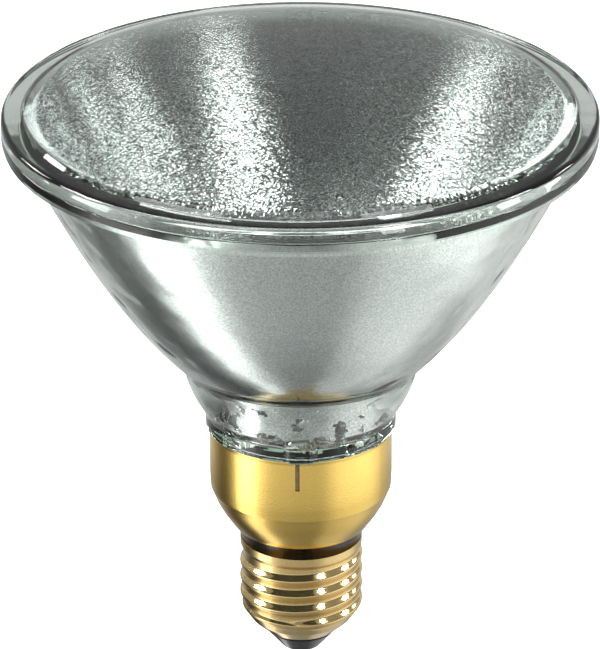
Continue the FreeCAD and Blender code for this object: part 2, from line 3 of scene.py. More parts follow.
import bmesh
import bpy
import numpy as np
from mathutils import Matrix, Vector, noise


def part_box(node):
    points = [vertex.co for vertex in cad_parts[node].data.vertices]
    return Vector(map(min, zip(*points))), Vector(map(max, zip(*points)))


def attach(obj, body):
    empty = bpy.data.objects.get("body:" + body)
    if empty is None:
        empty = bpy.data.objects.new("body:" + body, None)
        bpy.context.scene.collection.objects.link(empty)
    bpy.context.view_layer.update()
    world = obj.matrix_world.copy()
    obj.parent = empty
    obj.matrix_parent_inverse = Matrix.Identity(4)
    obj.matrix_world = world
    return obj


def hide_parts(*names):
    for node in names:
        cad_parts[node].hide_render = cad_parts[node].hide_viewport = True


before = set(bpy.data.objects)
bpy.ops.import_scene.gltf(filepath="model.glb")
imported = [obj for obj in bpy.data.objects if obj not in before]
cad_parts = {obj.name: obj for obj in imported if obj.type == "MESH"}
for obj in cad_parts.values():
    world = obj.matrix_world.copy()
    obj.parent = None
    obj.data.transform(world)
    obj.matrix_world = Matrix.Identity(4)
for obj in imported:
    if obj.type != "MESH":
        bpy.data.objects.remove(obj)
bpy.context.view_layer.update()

# Studio: the lamp stands on its contact on a pale floor, under soft light. A long lens looks down on it from
# the height and distance of the photograph. Camera, lights and patterns are placed in metres, and the focal
# length and the points of meshes are in millimetres.
LENS_FLANGE = 0.0032
RIM_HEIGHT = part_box("front_lens")[0].z + LENS_FLANGE
CAMERA_DISTANCE = 0.950
CAMERA_ELEVATION = math.radians(22.40)
CAMERA_PITCH = math.radians(25.06)
CAMERA_ASIDE = -0.00013
CAMERA_ROLL = math.radians(-0.13)
FOCAL_LENGTH = 258.4

camera = bpy.data.objects.new("camera", bpy.data.cameras.new("camera"))
camera.data.lens = FOCAL_LENGTH
camera.data.sensor_width = 36.0
camera.data.clip_end = 50.0
camera.location = (
    CAMERA_ASIDE,
    -CAMERA_DISTANCE * math.cos(CAMERA_ELEVATION),
    RIM_HEIGHT + CAMERA_DISTANCE * math.sin(CAMERA_ELEVATION),
)
camera.rotation_mode = "ZXY"
camera.rotation_euler = (math.pi / 2 - CAMERA_PITCH, 0.0, CAMERA_ROLL)
bpy.context.scene.collection.objects.link(camera)
bpy.context.scene.camera = camera
bpy.context.scene.view_settings.view_transform = "Standard"


def linear(code, alpha=1.0):
    """An sRGB hex colour as a linear one."""
    parts = [int(code[i : i + 2], 16) / 255 for i in (1, 3, 5)]
    bent = [p / 12.92 if p <= 0.04045 else ((p + 0.055) / 1.055) ** 2.4 for p in parts]
    return (*bent, alpha)


def add(tree, kind, inputs=None, **settings):
    """A new node with its own settings, and values or sockets for its inputs."""
    made = tree.nodes.new(kind)
    for name, value in settings.items():
        setattr(made, name, value)
    for name, value in (inputs or {}).items():
        if isinstance(value, bpy.types.NodeSocket):
            tree.links.new(value, made.inputs[name])
        else:
            made.inputs[name].default_value = value
    return made


def mesh_object(name, points, faces):
    """An object at the origin, from points in millimetres."""
    mesh = bpy.data.meshes.new(name)
    mesh.from_pydata([tuple(p) for p in np.asarray(points, float) / 1000], [], faces)
    mesh.update()
    made = bpy.data.objects.new(name, mesh)
    bpy.context.scene.collection.objects.link(made)
    return made


# The floor lies half a millimetre under the lamp's foot, so that the sheet of cards fits between the two.
FLOOR_SIZE = 6000.0
FLOOR_DROP = 0.5
CORNERS = ((-1, -1), (1, -1), (1, 1), (-1, 1))
floor = mesh_object(
    "floor", [(x * FLOOR_SIZE, y * FLOOR_SIZE, -FLOOR_DROP) for x, y in CORNERS], [(0, 1, 2, 3)]
)

# Studio paper is matt and nearly white. A glow for the camera alone makes it plain white round its shadow.
PAPER_GLOW = 0.72
paper = bpy.data.materials.new("white studio paper")
paper.use_nodes = True
tree = paper.node_tree
tree.nodes.remove(tree.nodes["Principled BSDF"])
matt = add(tree, "ShaderNodeBsdfDiffuse", {"Color": linear("#F2F2F2")})
glow = add(tree, "ShaderNodeEmission", {"Color": linear("#FFFFFF"), "Strength": PAPER_GLOW})
both = add(tree, "ShaderNodeAddShader", {0: matt.outputs[0], 1: glow.outputs[0]})
rays = add(tree, "ShaderNodeLightPath")
to_camera = rays.outputs["Is Camera Ray"]
seen = add(tree, "ShaderNodeMixShader", {0: to_camera, 1: matt.outputs[0], 2: both.outputs[0]})
tree.links.new(seen.outputs[0], tree.nodes["Material Output"].inputs["Surface"])
floor.data.materials.append(paper)

# Cards: wedges of white and grey paper round the foot of the lamp, seen only in its glass, mirror and brass.
# Each row is a card's angle, from the camera's side towards the right, and its level. One blends into
# the next. All are darker close to the foot, a painted shadow of the lamp, and brighter far from it.
CARD_RADIUS = 900.0
CARDS = (
    (-180, 0.45), (-150, 0.42), (-136, 0.35), (-122, 0.20), (-111, 0.11), (-102, 0.12), (-94, 0.22),
    (-88, 0.48), (-82, 0.95), (-78, 1.90), (-68, 2.10), (-56, 1.90), (-52, 1.10), (-44, 0.80),
    (-38, 0.62), (-32, 0.54), (-20, 0.48), (0, 0.43), (20, 0.43), (28, 0.50), (37, 0.68),
    (46, 0.84), (60, 0.94), (76, 1.02), (90, 1.00), (104, 0.80), (116, 0.55), (136, 0.45), (180, 0.45),
)
# Painted shadow: close to the foot the cards glow less, in place of the lamp's own shadow on them.
PAINTED_FOOT_SHADOW = {"From Min": 0.026, "From Max": 0.055, "To Min": 0.62, "To Max": 1.0}
FAR_FROM_FOOT = {"From Min": 0.094, "From Max": 0.112, "To Min": 1.0, "To Max": 1.5}
card = mesh_object(
    "mirror_cards", [(x * CARD_RADIUS, y * CARD_RADIUS, -FLOOR_DROP / 2) for x, y in CORNERS], [(0, 1, 2, 3)]
)

# Graded studio cards glow by themselves here, so that the lamp mirrors each one at its own level.
card_paint = bpy.data.materials.new("graded studio cards")
card_paint.use_nodes = True
tree = card_paint.node_tree
tree.nodes.remove(tree.nodes["Principled BSDF"])
place = add(tree, "ShaderNodeTexCoord")
turn = add(tree, "ShaderNodeMapping", {"Vector": place.outputs["Object"], "Rotation": (0, 0, math.pi / 2)})
angle = add(tree, "ShaderNodeTexGradient", {"Vector": turn.outputs[0]}, gradient_type="RADIAL")
ramp = add(tree, "ShaderNodeValToRGB", {"Fac": angle.outputs["Fac"]})
ramp.color_ramp.interpolation = "EASE"
stops = ramp.color_ramp.elements
for degrees, level in CARDS[1:-1]:
    stops.new((degrees + 180) / 360).color = (level, level, level, 1)
for stop, (degrees, level) in zip((stops[0], stops[-1]), (CARDS[0], CARDS[-1])):
    stop.color = (level, level, level, 1)
reach = add(tree, "ShaderNodeVectorMath", {0: place.outputs["Object"]}, operation="LENGTH")
painted_shadow = add(tree, "ShaderNodeMapRange", {"Value": reach.outputs["Value"], **PAINTED_FOOT_SHADOW})
far = add(tree, "ShaderNodeMapRange", {"Value": reach.outputs["Value"], **FAR_FROM_FOOT})
gain = add(tree, "ShaderNodeMath", {0: painted_shadow.outputs[0], 1: far.outputs[0]}, operation="MULTIPLY")
shine = add(tree, "ShaderNodeEmission", {"Color": ramp.outputs["Color"], "Strength": gain.outputs[0]})
tree.links.new(shine.outputs[0], tree.nodes["Material Output"].inputs["Surface"])
card.data.materials.append(card_paint)
card.visible_camera = card.visible_diffuse = card.visible_shadow = False

# Room: white behind the lamp for the camera, and a dim grey room for all that the lamp mirrors.
# The room is a little lighter behind the lamp than in front of it.
ROOM_FRONT = 0.30
ROOM_BACK = 0.40
ROOM_EASE = 0.6
world = bpy.data.worlds.new("studio")
bpy.context.scene.world = world
world.use_nodes = True
tree = world.node_tree
rays = add(tree, "ShaderNodeLightPath")
place = add(tree, "ShaderNodeTexCoord")
way = add(tree, "ShaderNodeSeparateXYZ", {0: place.outputs["Generated"]})
room = add(tree, "ShaderNodeMapRange", {
    "Value": way.outputs["Y"], "From Max": ROOM_EASE, "To Min": ROOM_FRONT, "To Max": ROOM_BACK
})
level = add(tree, "ShaderNodeMapRange", {
    "Value": rays.outputs["Is Camera Ray"], "To Min": room.outputs[0], "To Max": 1.0
})
tree.links.new(level.outputs[0], tree.nodes["Background"].inputs["Strength"])
tree.nodes["Background"].inputs["Color"].default_value = linear("#FFFFFF")

# Softboxes: area lights that face the rim from all round. Strips low at the sides give the window its bright
# streaks. Azimuth runs from the camera's side towards the right, and the level is the cloth's brightness.
for name, azimuth, elevation, distance, width, height, level in (
    ("overhead", 0, 88, 1.6, 1.40, 1.40, 2.0),
    ("strip_right_front", 37, 32, 1.5, 0.24, 0.80, 17.0),
    ("strip_left", -90, 24, 1.5, 0.50, 0.60, 25.0),
    ("strip_left_back", -120, 20, 1.5, 0.34, 0.45, 17.0),
    ("strip_right", 89, 20, 1.5, 0.28, 0.45, 24.0),
    ("strip_right_back", 114, 14, 1.5, 0.24, 0.34, 14.0),
    ("high_left", -62, 54, 1.5, 0.90, 0.35, 5.0),
    ("high_right", 56, 56, 1.5, 0.50, 0.35, 4.0),
):
    light = bpy.data.lights.new(name, "AREA")
    light.shape = "RECTANGLE"
    light.size = width
    light.size_y = height
    light.energy = level * math.pi * width * height
    softbox = bpy.data.objects.new(name, light)
    a, e = math.radians(azimuth), math.radians(elevation)
    away = (math.sin(a) * math.cos(e), -math.cos(a) * math.cos(e), math.sin(e))
    softbox.location = [c * distance + o for c, o in zip(away, (0, 0, RIM_HEIGHT))]
    softbox.rotation_euler = (math.pi / 2 - e, 0, a)
    softbox.visible_camera = False
    bpy.context.scene.collection.objects.link(softbox)

# Flag: a tall dark cloth behind the camera, seen only in the lamp, where it darkens the middle of the
# window. Its sides and heights are angles from the camera's side and from level.
FLAG_SIDES = (-62, 22)
FLAG_HEIGHTS = (8, 46)
FLAG_DISTANCE = 1700.0
FLAG_STEPS = 12
corners = []
for e in FLAG_HEIGHTS:
    for a in np.radians(np.linspace(*FLAG_SIDES, FLAG_STEPS + 1)):
        reach = FLAG_DISTANCE * math.cos(math.radians(e))
        up = RIM_HEIGHT * 1000 + FLAG_DISTANCE * math.sin(math.radians(e))
        corners.append((reach * math.sin(a), -reach * math.cos(a), up))
row = FLAG_STEPS + 1
flag = mesh_object("flag", corners, [(i, i + 1, i + 1 + row, i + row) for i in range(FLAG_STEPS)])

# Dark flag cloth is a dull black felt that mirrors hardly anything.
cloth = bpy.data.materials.new("dark flag cloth")
cloth.use_nodes = True
cloth.node_tree.nodes["Principled BSDF"].inputs["Base Color"].default_value = linear("#2A2E2C")
cloth.node_tree.nodes["Principled BSDF"].inputs["Roughness"].default_value = 1.0
flag.data.materials.append(cloth)
flag.visible_camera = flag.visible_diffuse = flag.visible_shadow = False

# Reflector bowl: one piece of pressed hard glass with flange, paraboloid, neck, shoulder and heel.
# It is fire polished, so its edges are soft, and moulded lugs and ribs stand on its shoulder.
# Two bores in its floor take the cups of the posts, and a third takes the exhaust tube.
SEGMENTS = 384
SHARP_ANGLE = 40
SEAL_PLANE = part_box("reflector_bowl")[1].z * 1000
RIM_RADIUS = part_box("reflector_bowl")[1].x * 1000
SKIRT_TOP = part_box("cap_skirt")[1].z * 1000
SKIRT_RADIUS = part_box("cap_skirt")[1].x * 1000
SEAM = 0.04
HAIR = 0.02
SEAM_EDGE = 0.25
MOUTH_RADIUS = RIM_RADIUS - 6.0
MOUTH_EASE = 0.05
FLANGE_FOOT = SEAL_PLANE - 3.0
MOULD_LINE = SEAL_PLANE - 1.7
MOULD_STEP = 0.25
MOULD_EDGE = 0.12
FOOT_EDGE = 0.6
HEEL_EDGE = 0.8
OUTER_MOUTH_RADIUS = MOUTH_RADIUS + 2.0
FLANGE_FILLET = (0.4, 0.1)
KINK_FILLET = (0.3, 0.15)
MIRROR_FOCAL = 12.15
MIRROR_VERTEX = SEAL_PLANE - MOUTH_RADIUS**2 / (4 * MIRROR_FOCAL)
THROAT_RADIUS = 22.4
THROAT_HEIGHT = MIRROR_VERTEX + THROAT_RADIUS**2 / (4 * MIRROR_FOCAL)
KINK_RADIUS = THROAT_RADIUS + 2.65
KINK_HEIGHT = THROAT_HEIGHT - 0.75
OUTER_FOCAL = (OUTER_MOUTH_RADIUS**2 - KINK_RADIUS**2) / (4 * (FLANGE_FOOT - KINK_HEIGHT))
OUTER_VERTEX = KINK_HEIGHT - KINK_RADIUS**2 / (4 * OUTER_FOCAL)
BULGE_TOP = (KINK_RADIUS - 0.5, KINK_HEIGHT - 1.0)
BULGE_BOW = 0.6
NECK_EASE = 1.05
SHOULDER_RADIUS = SKIRT_RADIUS + 0.8
SHOULDER_TOP = SKIRT_TOP + 3.2
SHOULDER_EDGE = 0.6
MARK_ROWS = 8
MARK_ROW = 0.3
MARK_FIRST_ROW = 0.4
MARK_TOP = 7.0
MARK_FOOTING = 0.5
LUG = {"stand": 0.7, "middle": 1.6, "half_height": 3.2, "half_width": 2.7, "edge": 1.8}
RIB = {"stand": 0.25, "middle": 1.4, "half_height": 1.6, "half_width": 0.25, "edge": 0.4, "end": 0.5}
RIB_ANGLE = 52
PIP = {"stand": 0.3, "middle": 1.6, "radius": 1.0, "edge": 0.6}
PIP_ANGLE = 31
BULGE_FOOT = (SHOULDER_RADIUS + NECK_EASE, SHOULDER_TOP + 2 * NECK_EASE)
FLOOR_UNDERSIDE = SKIRT_TOP - 0.5
FLOOR_HEIGHT = FLOOR_UNDERSIDE + 3.0
FLOOR_RADIUS = SHOULDER_RADIUS - 2.6
HEEL_RADIUS = SKIRT_RADIUS - 1.0
HEEL_WALL = 2.6
HEEL_FOOT = FLOOR_UNDERSIDE - 10.0
SEAL_BORE_RADIUS = 2.3
BOSS_RADIUS = SEAL_BORE_RADIUS + 1.0
BOSS_HEIGHT = 2.4
POST_ASIDE = 7.5
EXHAUST_BORE_RADIUS = 1.4
PEG_REACH = 1.0


def bent(*corners, steps=5):
    """Points through corners (radius, height[, rounding]), each rounding drawn as an arc."""
    points = [np.array(c[:2], float) for c in corners]
    line = []
    for i, corner in enumerate(corners):
        if len(corner) < 3:
            line.append(points[i])
            continue
        back = points[i - 1] - points[i]
        ahead = points[(i + 1) % len(points)] - points[i]
        back /= np.linalg.norm(back)
        ahead /= np.linalg.norm(ahead)
        half = math.acos(np.clip(back @ ahead, -1, 1)) / 2
        reach = corner[2] / math.tan(half)
        into, out = points[i] + back * reach, points[i] + ahead * reach
        for t in np.linspace(0, 1, steps + 1):
            line.append((1 - t) ** 2 * into + 2 * t * (1 - t) * points[i] + t**2 * out)
    return line


def parabola(vertex, focal, start, end, count):
    """Points of a paraboloid's outline between two radii."""
    return [np.array((r, vertex + r * r / (4 * focal))) for r in np.linspace(start, end, count)]


def bowed(start, end, bow, count):
    """Points from start to end along a shallow curve that bows away from the axis."""
    start, end = np.array(start, float), np.array(end, float)
    outward = np.array((abs(end[1] - start[1]), 0.0)) / np.linalg.norm(end - start)
    return [start + (end - start) * t + outward * bow * 4 * t * (1 - t) for t in np.linspace(0, 1, count)]


def smooth(made, sharp=SHARP_ANGLE):
    """Turns the faces outwards and shades them smooth up to a sharp angle in degrees."""
    work = bmesh.new()
    work.from_mesh(made.data)
    bmesh.ops.recalc_face_normals(work, faces=work.faces)
    work.to_mesh(made.data)
    work.free()
    made.data.shade_smooth()
    made.data.set_sharp_from_angle(angle=math.radians(sharp))


def turned(name, outline, relief=None, segments=SEGMENTS, closed=True):
    """A shape of revolution. A relief adds to the radius by angle, radius and height."""
    outline = np.array(outline)
    turn = np.linspace(0, 2 * math.pi, segments, endpoint=False)
    points, rows = [], []
    for radius, height in outline:
        if radius < 1e-6:
            rows.append([len(points)] * segments)
            points.append((0, 0, height))
            continue
        out = np.full(segments, radius)
        if relief is not None:
            out = out + relief(turn, radius, height)
        rows.append(list(range(len(points), len(points) + segments)))
        points.extend(zip(out * np.cos(turn), out * np.sin(turn), np.full(segments, height)))
    faces = []
    for low, high in zip(rows, rows[1:] + rows[:1] if closed else rows[1:]):
        for i in range(segments):
            j = (i + 1) % segments
            corners = []
            for v in (low[i], low[j], high[j], high[i]):
                if v not in corners:
                    corners.append(v)
            if len(corners) > 2:
                faces.append(corners)
    made = mesh_object(name, points, faces)
    smooth(made)
    return made


def applied(made):
    """Turns an object's modifiers into plain mesh."""
    evaluated = made.evaluated_get(bpy.context.evaluated_depsgraph_get())
    mesh = bpy.data.meshes.new_from_object(evaluated)
    made.modifiers.clear()
    made.data = mesh
    smooth(made)


def hump(distance, half_width, edge):
    """1 inside a half width, easing to 0 over an edge."""
    t = np.clip((half_width + edge / 2 - np.abs(distance)) / edge, 0, 1)
    return t * t * (3 - 2 * t)


def across(turn, degrees, radius):
    """Distance round the wall from an angle, which runs from the front towards the right."""
    gap = (turn - math.radians(degrees - 90) + math.pi) % (2 * math.pi) - math.pi
    return gap * radius


def shoulder_marks(turn, radius, height):
    """Lugs at the front and back, thin ribs beside them and one round pip, pressed on the shoulder."""
    stand = np.zeros_like(turn)
    up = height - SKIRT_TOP
    if radius < SHOULDER_RADIUS - MARK_FOOTING or not 0 <= up <= MARK_TOP:
        return stand
    for front in (0, 180):
        tall = LUG["stand"] * hump(up - LUG["middle"], LUG["half_height"], LUG["edge"])
        stand += tall * hump(across(turn, front, radius), LUG["half_width"], LUG["edge"])
        for side in (-RIB_ANGLE, RIB_ANGLE):
            low = RIB["stand"] * hump(up - RIB["middle"], RIB["half_height"], RIB["end"])
            stand += low * hump(across(turn, front + side, radius), RIB["half_width"], RIB["edge"])
    apart = np.hypot(across(turn, PIP_ANGLE, radius), up - PIP["middle"])
    return stand + PIP["stand"] * hump(apart, PIP["radius"], PIP["edge"])


def neck_wall(shares):
    """Points up the inner wall of the neck, from the glass floor at 0 to the throat at 1."""
    wide, tall = THROAT_RADIUS - FLOOR_RADIUS, THROAT_HEIGHT - FLOOR_HEIGHT
    return [(FLOOR_RADIUS + wide * t, FLOOR_HEIGHT + tall * t) for t in shares]


outline = bent(
    (MOUTH_RADIUS, SEAL_PLANE - SEAM),
    (RIM_RADIUS, SEAL_PLANE - SEAM, SEAM_EDGE),
    (RIM_RADIUS, MOULD_LINE, MOULD_EDGE),
    (RIM_RADIUS - MOULD_STEP, MOULD_LINE - MOULD_STEP, MOULD_EDGE),
    (RIM_RADIUS - MOULD_STEP, FLANGE_FOOT, FOOT_EDGE),
    (OUTER_MOUTH_RADIUS + FLANGE_FILLET[0], FLANGE_FOOT),
)
wall_top, wall_foot = OUTER_MOUTH_RADIUS - FLANGE_FILLET[1], KINK_RADIUS + KINK_FILLET[0]
outline += parabola(OUTER_VERTEX, OUTER_FOCAL, wall_top, wall_foot, count=44)
outline += [np.array((KINK_RADIUS, KINK_HEIGHT - KINK_FILLET[1]))]
outline += bowed(BULGE_TOP, BULGE_FOOT, BULGE_BOW, count=22)[:-1]
outline += bent(
    BULGE_FOOT,
    (SHOULDER_RADIUS, SHOULDER_TOP, SHOULDER_EDGE),
    *[(SHOULDER_RADIUS, SHOULDER_TOP - MARK_FIRST_ROW - MARK_ROW * i) for i in range(MARK_ROWS)],
    (SHOULDER_RADIUS, SKIRT_TOP + HAIR, SEAM_EDGE),
    (HEEL_RADIUS, SKIRT_TOP + HAIR),
    (HEEL_RADIUS, HEEL_FOOT, HEEL_EDGE),
    (HEEL_RADIUS - HEEL_WALL, HEEL_FOOT, HEEL_EDGE),
    (HEEL_RADIUS - HEEL_WALL, FLOOR_UNDERSIDE, HEEL_EDGE),
    (0, FLOOR_UNDERSIDE),
    (0, FLOOR_HEIGHT),
    (FLOOR_RADIUS, FLOOR_HEIGHT),
    *neck_wall(np.linspace(0.08, 0.96, 14)),
)
outline += parabola(MIRROR_VERTEX, MIRROR_FOCAL, THROAT_RADIUS, MOUTH_RADIUS - MOUTH_EASE, count=48)
bowl = turned("glass_bowl", outline, shoulder_marks)


def peg(name, radius, low, high, x=0.0, segments=48):
    """A short upright cylinder that adds or cuts glass."""
    made = turned(name, [(0, low), (radius, low), (radius, high), (0, high)], segments=segments)
    for vertex in made.data.vertices:
        vertex.co.x += x / 1000
    return made


BOSS_FOOT = FLOOR_UNDERSIDE - BOSS_HEIGHT
pegs = []
low, high = BOSS_FOOT - PEG_REACH, FLOOR_HEIGHT + PEG_REACH
for x in (-POST_ASIDE, POST_ASIDE):
    pegs.append((peg("boss", BOSS_RADIUS, BOSS_FOOT, FLOOR_UNDERSIDE + PEG_REACH, x), "UNION"))
for x in (-POST_ASIDE, POST_ASIDE):
    pegs.append((peg("bore", SEAL_BORE_RADIUS, low, high, x), "DIFFERENCE"))
pegs.append((peg("pump_bore", EXHAUST_BORE_RADIUS, FLOOR_UNDERSIDE - PEG_REACH, high), "DIFFERENCE"))
for tool, operation in pegs:
    step = bowl.modifiers.new(tool.name, "BOOLEAN")
    step.object = tool
    step.operation = operation
    step.solver = "EXACT"
applied(bowl)
for tool, _ in pegs:
    bpy.data.objects.remove(tool)


def finish(name, **sockets):
    """A material whose plain values stand on its shader's own sockets."""
    made = bpy.data.materials.new(name)
    made.use_nodes = True
    shader = made.node_tree.nodes["Principled BSDF"]
    for socket, value in sockets.items():
        shader.inputs[socket.replace("_", " ")].default_value = value
    return made, made.node_tree, shader


# Fire polished hard glass is clear and smooth in a thin wall, and grey green where the eye looks along it.
# Faint flow waves about 9 mm long, left by the pressing, bend what shines through it.
GLASS_GREEN = "#A2D6B4"
GLASS_DEPTH = 30.0
GLASS_IOR = 1.474
FLOW_WAVE = 0.009
hard_glass, tree, shader = finish(
    "fire polished hard glass",
    Base_Color=linear("#FCFDFC"), Roughness=0.0, IOR=GLASS_IOR, Transmission_Weight=1.0,
)
place = add(tree, "ShaderNodeTexCoord")
waves = add(
    tree, "ShaderNodeTexNoise", {"Vector": place.outputs["Object"], "Scale": 1 / FLOW_WAVE, "Detail": 1.0}
)
relief = add(tree, "ShaderNodeBump", {"Height": waves.outputs["Fac"], "Strength": 0.4, "Distance": 0.0006})
tree.links.new(relief.outputs["Normal"], shader.inputs["Normal"])
tint = add(tree, "ShaderNodeVolumeAbsorption", {"Color": linear(GLASS_GREEN), "Density": GLASS_DEPTH})
tree.links.new(tint.outputs[0], tree.nodes["Material Output"].inputs["Volume"])
bowl.data.materials.clear()
bowl.data.materials.append(hard_glass)
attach(bowl, "root")
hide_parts("reflector_bowl")

# Mirror film: aluminium vapour on the inner wall, bright towards the lens and seen through the glass outside.
# In the neck it is thin and wavy, with holes and a ragged end where the vapour missed the glass.
FILM_EASE = 0.03
FILM_THICKNESS = 0.2
NECK_ROWS = 46
NECK_WAVE = 0.9
NECK_WAVE_LENGTH = 5.5
NECK_WAVE_HEIGHT = 6.0
NECK_WAVE_EASE = 3.0
HOLE_SIZE = 3.6
HOLE_START = 0.15
HOLE_RARITY = 0.5
HOLE_GROWTH = 0.6
RAGGED_SIZE = 0.9
RAGGED_SHARE = 0.35
RAGGED_SHIFT = 7


def neck_wave(turn, radius, height):
    """The film's wall in the neck leans in, by nothing at the throat."""
    if height > THROAT_HEIGHT:
        return 0.0
    share = min((THROAT_HEIGHT - height) / NECK_WAVE_EASE, 1.0)
    size = radius / NECK_WAVE_LENGTH
    up = height / NECK_WAVE_HEIGHT
    lean = [noise.noise((size * math.cos(a), size * math.sin(a), up)) for a in turn]
    return -share * NECK_WAVE * (0.5 + 0.5 * np.array(lean))


def neck_bare(face):
    """Whether the film is missing at a face of the neck, more often towards its foot."""
    x, y, z = face.calc_center_median() * 1000
    share = (THROAT_HEIGHT - z) / (THROAT_HEIGHT - FLOOR_HEIGHT)
    if share < HOLE_START:
        return False
    patch = noise.noise((x / HOLE_SIZE, y / HOLE_SIZE, z / HOLE_SIZE))
    ragged = noise.noise((x / RAGGED_SIZE + RAGGED_SHIFT, y / RAGGED_SIZE, z / RAGGED_SIZE))
    return patch + RAGGED_SHARE * ragged > HOLE_RARITY - HOLE_GROWTH * share


wall = parabola(MIRROR_VERTEX, MIRROR_FOCAL, MOUTH_RADIUS - MOUTH_EASE, THROAT_RADIUS, count=40)
wall += neck_wall(np.linspace(1, 0, NECK_ROWS)[1:])
film = turned("mirror_coating", np.array(wall) - (FILM_EASE, 0), neck_wave, closed=False)
work = bmesh.new()
work.from_mesh(film.data)
bmesh.ops.delete(work, geom=[f for f in work.faces if neck_bare(f)], context="FACES")
inward = [f for f in work.faces if f.normal.xy @ f.calc_center_median().xy < 0]
bmesh.ops.reverse_faces(work, faces=inward)
work.to_mesh(film.data)
work.free()
sheet = film.modifiers.new("sheet", "SOLIDIFY")
sheet.thickness = FILM_THICKNESS / 1000
sheet.offset = -1
applied(film)

# Vapour deposited aluminium is the brightest plain mirror, a little cool. It follows the grain of the pressed
# glass, which softens what it mirrors. The real grain is finer: it is drawn 0.35 mm wide, so that it shows.
FILM_GRAIN = 0.00035
aluminium, tree, shader = finish("vapour deposited aluminium", Metallic=1.0, Roughness=0.17)
place = add(tree, "ShaderNodeTexCoord")
grain = add(
    tree, "ShaderNodeTexNoise", {"Vector": place.outputs["Object"], "Scale": 1 / FILM_GRAIN, "Detail": 1.0}
)
tone = add(tree, "ShaderNodeMapRange", {"Value": grain.outputs["Fac"], "From Min": 0.3, "From Max": 0.7})
colour = add(
    tree, "ShaderNodeMix", {0: tone.outputs[0], 6: linear("#C6CACA"), 7: linear("#F6F7F8")}, data_type="RGBA"
)
tree.links.new(colour.outputs[2], shader.inputs["Base Color"])
relief = add(tree, "ShaderNodeBump", {"Height": grain.outputs["Fac"], "Strength": 0.6, "Distance": 0.00002})
tree.links.new(relief.outputs["Normal"], shader.inputs["Normal"])
film.data.materials.append(aluminium)
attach(film, "root")
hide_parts("mirror_film")


def carried(material, *names):
    """Smooth-shaded copies of CAD nodes whose shape is right, in a finish of their own."""
    for name in names:
        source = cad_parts[name]
        made = bpy.data.objects.new(name + "_finished", source.data.copy())
        made.data.transform(source.matrix_world)
        bpy.context.scene.collection.objects.link(made)
        work = bmesh.new()
        work.from_mesh(made.data)
        bmesh.ops.remove_doubles(work, verts=work.verts, dist=0.000001)
        work.to_mesh(made.data)
        work.free()
        smooth(made, sharp=25)
        made.data.materials.clear()
        made.data.materials.append(material)
        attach(made, "root")
        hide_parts(name)


def mottled(tree, shader, spot, detail, dark, light, relief=0.0, gloss=None):
    """Colour, gloss and relief that follow one noise, with spots of a real size in metres."""
    place = add(tree, "ShaderNodeTexCoord")
    spots = add(
        tree, "ShaderNodeTexNoise", {"Vector": place.outputs["Object"], "Scale": 1 / spot, "Detail": detail}
    )
    colour = add(
        tree, "ShaderNodeMix", {0: spots.outputs["Fac"], 6: linear(dark), 7: linear(light)}, data_type="RGBA"
    )
    tree.links.new(colour.outputs[2], shader.inputs["Base Color"])
    if gloss:
        ends = {"To Min": gloss[0], "To Max": gloss[1]}
        spread = add(tree, "ShaderNodeMapRange", {"Value": spots.outputs["Fac"], **ends})
        tree.links.new(spread.outputs[0], shader.inputs["Roughness"])
    if relief:
        ripples = {"Height": spots.outputs["Fac"], "Strength": 0.6, "Distance": relief}
        bump = add(tree, "ShaderNodeBump", ripples)
        tree.links.new(bump.outputs["Normal"], shader.inputs["Normal"])


# Nickel-iron is drawn to a cup and oxidised by the sealing flame: brown grey and dull, in patches of 1.5 mm.
nickel_iron, tree, shader = finish("oxidised nickel-iron cup", Metallic=1.0)
mottled(tree, shader, spot=0.0015, detail=3.0, dark="#8B857C", light="#B7B1A6", gloss=(0.3, 0.5))
carried(nickel_iron, "ferrule_left", "ferrule_right")

# Nickel plate on a drawn rod is a warm, fairly bright white metal with the fine grain of the plating bath.
nickel_plate, tree, shader = finish("nickel plated rod", Metallic=1.0)
mottled(tree, shader, spot=0.0004, detail=2.0, dark="#BDB8AE", light="#D6D2C9", gloss=(0.15, 0.35))
carried(nickel_plate, "post_left", "post_right")

# Halogen burner: a tube of fused quartz, pinched flat over two foils, with a coiled tungsten wire in it.
# The foils and the leads below them are molybdenum, the only metal that the pinch seals on.
# Clear fused quartz has no colour, and the 2 mm waves of the drawn tube bend what is seen through it.
quartz, tree, shader = finish("clear fused quartz", Roughness=0.0, IOR=1.458, Transmission_Weight=1.0)
mottled(tree, shader, spot=0.002, detail=1.0, dark="#FBFBFB", light="#FFFFFF", relief=0.0002)
carried(quartz, "burner")

# Drawn tungsten is a dark grey wire with a dull shine, as the drawing left it.
tungsten, tree, shader = finish("drawn tungsten wire", Metallic=1.0, Roughness=0.35)
mottled(tree, shader, spot=0.0002, detail=2.0, dark="#4A4A4C", light="#828284")
carried(tungsten, "filament")

# Rolled molybdenum is a cool mid grey foil with a satin shine from the rolls.
molybdenum, tree, shader = finish("rolled molybdenum", Metallic=1.0)
mottled(tree, shader, spot=0.0003, detail=2.0, dark="#8C8D90", light="#B4B5B8", gloss=(0.2, 0.36))
carried(molybdenum, "foil_left", "foil_right", "burner_lead_left", "burner_lead_right")

# Front lens: a pressed dome of clear glass, sealed on the flange. Its outside is smooth,
# and its inner face has a fine stipple from the mould, which spreads the beam and sparkles.
LENS_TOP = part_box("front_lens")[1].z * 1000
RIM_PLANE = RIM_HEIGHT * 1000
WINDOW_RADIUS = MOUTH_RADIUS + 1.0
WINDOW_EDGE = RIM_PLANE + 1.0
WINDOW_STEP = 0.35
RIM_EDGE = 1.2
INNER_EDGE = SEAL_PLANE + 1.2
LENS_THICKNESS = 3.0
STIPPLE_RADIUS = 53.2
STIPPLE_CELL = 0.00032
STIPPLE_LEAN = 0.30
FACING_DOWN = -0.5


